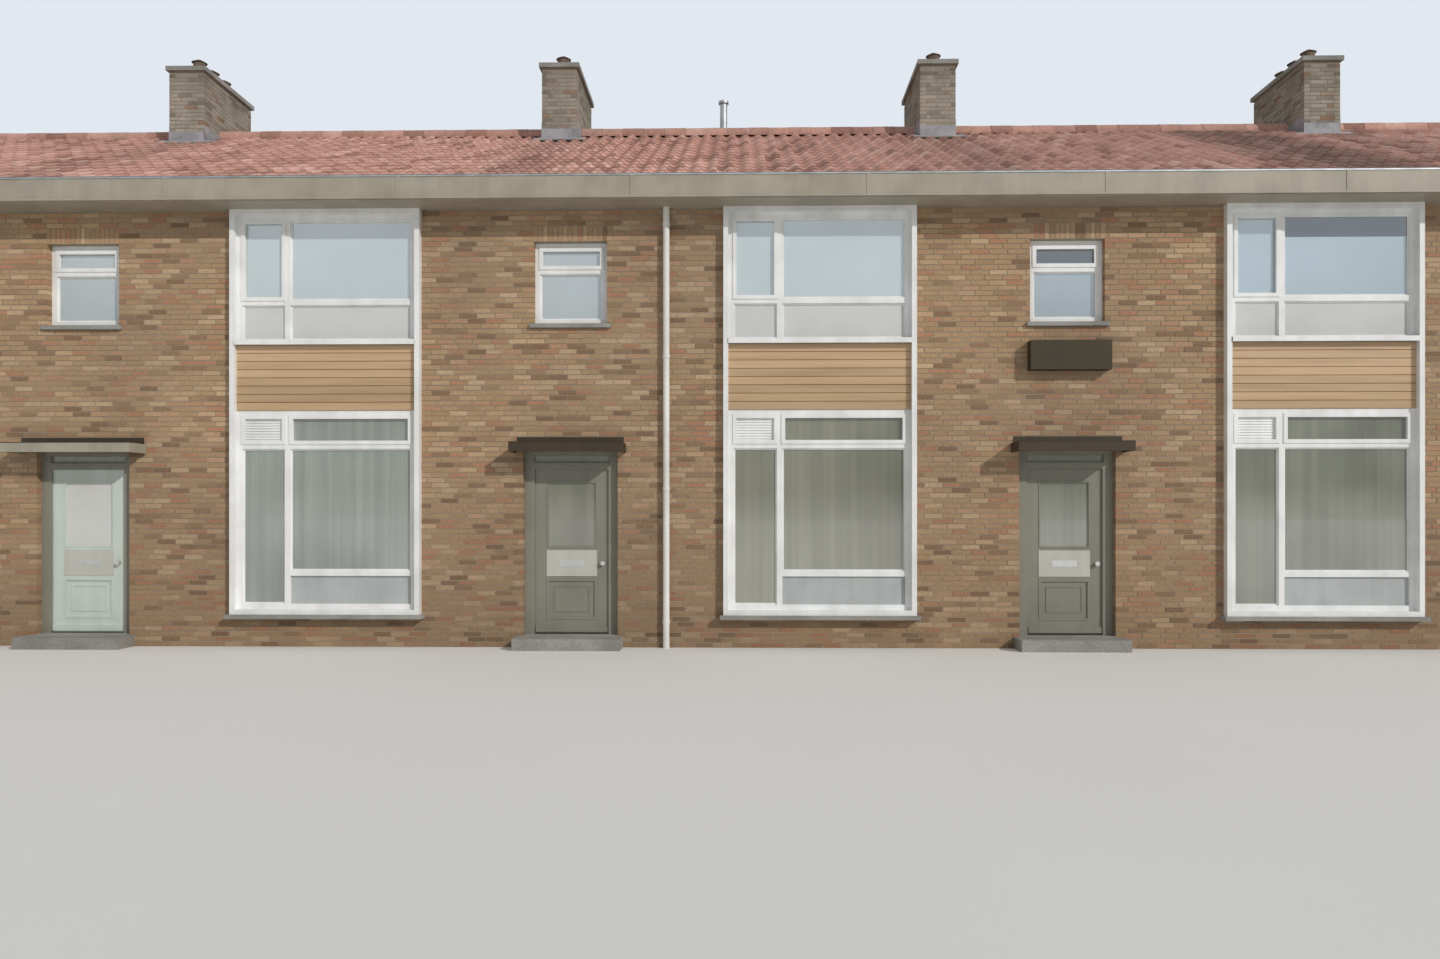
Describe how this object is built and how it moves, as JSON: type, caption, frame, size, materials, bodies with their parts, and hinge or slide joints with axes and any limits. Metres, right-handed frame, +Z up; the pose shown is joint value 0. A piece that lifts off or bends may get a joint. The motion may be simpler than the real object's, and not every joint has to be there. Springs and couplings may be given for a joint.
{
  "type": "terraced house row",
  "caption": "Straight row of two-storey brick houses with a tiled pitched roof, long chimneys on the party walls, tall window strips and hinged front doors.",
  "frame": {"origin": "ground level under the middle of the row, midway between the front and rear walls", "axes": "+X along the row, to the right as seen from the street; +Y from the street front to the rear; +Z up"},
  "size_m": [30.49, 9.86, 9.0783],
  "materials": {
    "brick": "matte",
    "inner_masonry": "matte",
    "concrete": "matte",
    "roof_tile": "matte",
    "chimney_brick": "matte",
    "cream_paint": "satin",
    "white_paint": "satin",
    "spandrel_panel": "satin",
    "window_glass": "gloss",
    "door_paint": "satin",
    "door_metal": "satin",
    "pipe_plastic": "satin",
    "terminal_clay": "matte",
    "vent_metal": "matte",
    "canopy_felt": "matte",
    "box_wood": "matte"
  },
  "bodies": {
    "terrace": {"front_piers": "brick", "over_door_walls": "brick", "landing_jamb_walls": "brick", "strip_walls": "brick", "rear_piers": "brick", "rear_infill_walls": "brick", "gable_walls": "brick", "party_walls": "inner_masonry", "ground_floors": "concrete", "first_floors": "concrete", "chimney_caps": "concrete", "window_sills": "concrete", "doorsteps": "concrete", "thresholds": "concrete", "roof_front": "roof_tile", "roof_rear": "roof_tile", "ridge_tiles": "roof_tile", "chimney_stacks": "chimney_brick", "front_gutter": "cream_paint", "rear_gutter": "cream_paint", "verge_boards": "cream_paint", "strip_side_boards": "cream_paint", "strip_end_boards": "cream_paint", "lower_strip_frames": "white_paint", "upper_strip_frames": "white_paint", "kick_panels": "white_paint", "landing_frames": "white_paint", "door_frames": "white_paint", "rear_window_frames": "white_paint", "rear_door_frames": "white_paint", "strip_panels": "spandrel_panel", "strip_glass": "window_glass", "small_glass": "window_glass", "rear_glass": "window_glass", "rear_doors": "door_paint", "door_hinges": "door_metal", "downpipes": "pipe_plastic", "flue_terminals": "terminal_clay", "vent_pipe": "vent_metal", "canopies": "canopy_felt", "window_box": "box_wood"},
    "door_1": {"front_door_1": "door_paint", "door_glass_1": "window_glass", "door_furniture_1": "door_metal"},
    "door_2": {"front_door_2": "door_paint", "door_glass_2": "window_glass", "door_furniture_2": "door_metal"},
    "door_3": {"front_door_3": "door_paint", "door_glass_3": "window_glass", "door_furniture_3": "door_metal"},
    "door_4": {"front_door_4": "door_paint", "door_glass_4": "window_glass", "door_furniture_4": "door_metal"},
    "door_5": {"front_door_5": "door_paint", "door_glass_5": "window_glass", "door_furniture_5": "door_metal"}
  },
  "joints": [
    {"name": "front_door_hinge_1", "type": "hinge", "parent": "terrace", "child": "door_1", "pos_m": [-14.644, -4.311, 1], "axis": [0, 0, 1], "range_deg": [0, 95]},
    {"name": "front_door_hinge_2", "type": "hinge", "parent": "terrace", "child": "door_2", "pos_m": [-8.644, -4.311, 1], "axis": [0, 0, 1], "range_deg": [0, 95]},
    {"name": "front_door_hinge_3", "type": "hinge", "parent": "terrace", "child": "door_3", "pos_m": [-2.644, -4.311, 1], "axis": [0, 0, 1], "range_deg": [0, 95]},
    {"name": "front_door_hinge_4", "type": "hinge", "parent": "terrace", "child": "door_4", "pos_m": [3.356, -4.311, 1], "axis": [0, 0, 1], "range_deg": [0, 95]},
    {"name": "front_door_hinge_5", "type": "hinge", "parent": "terrace", "child": "door_5", "pos_m": [9.356, -4.311, 1], "axis": [0, 0, 1], "range_deg": [0, 95]}
  ]
}
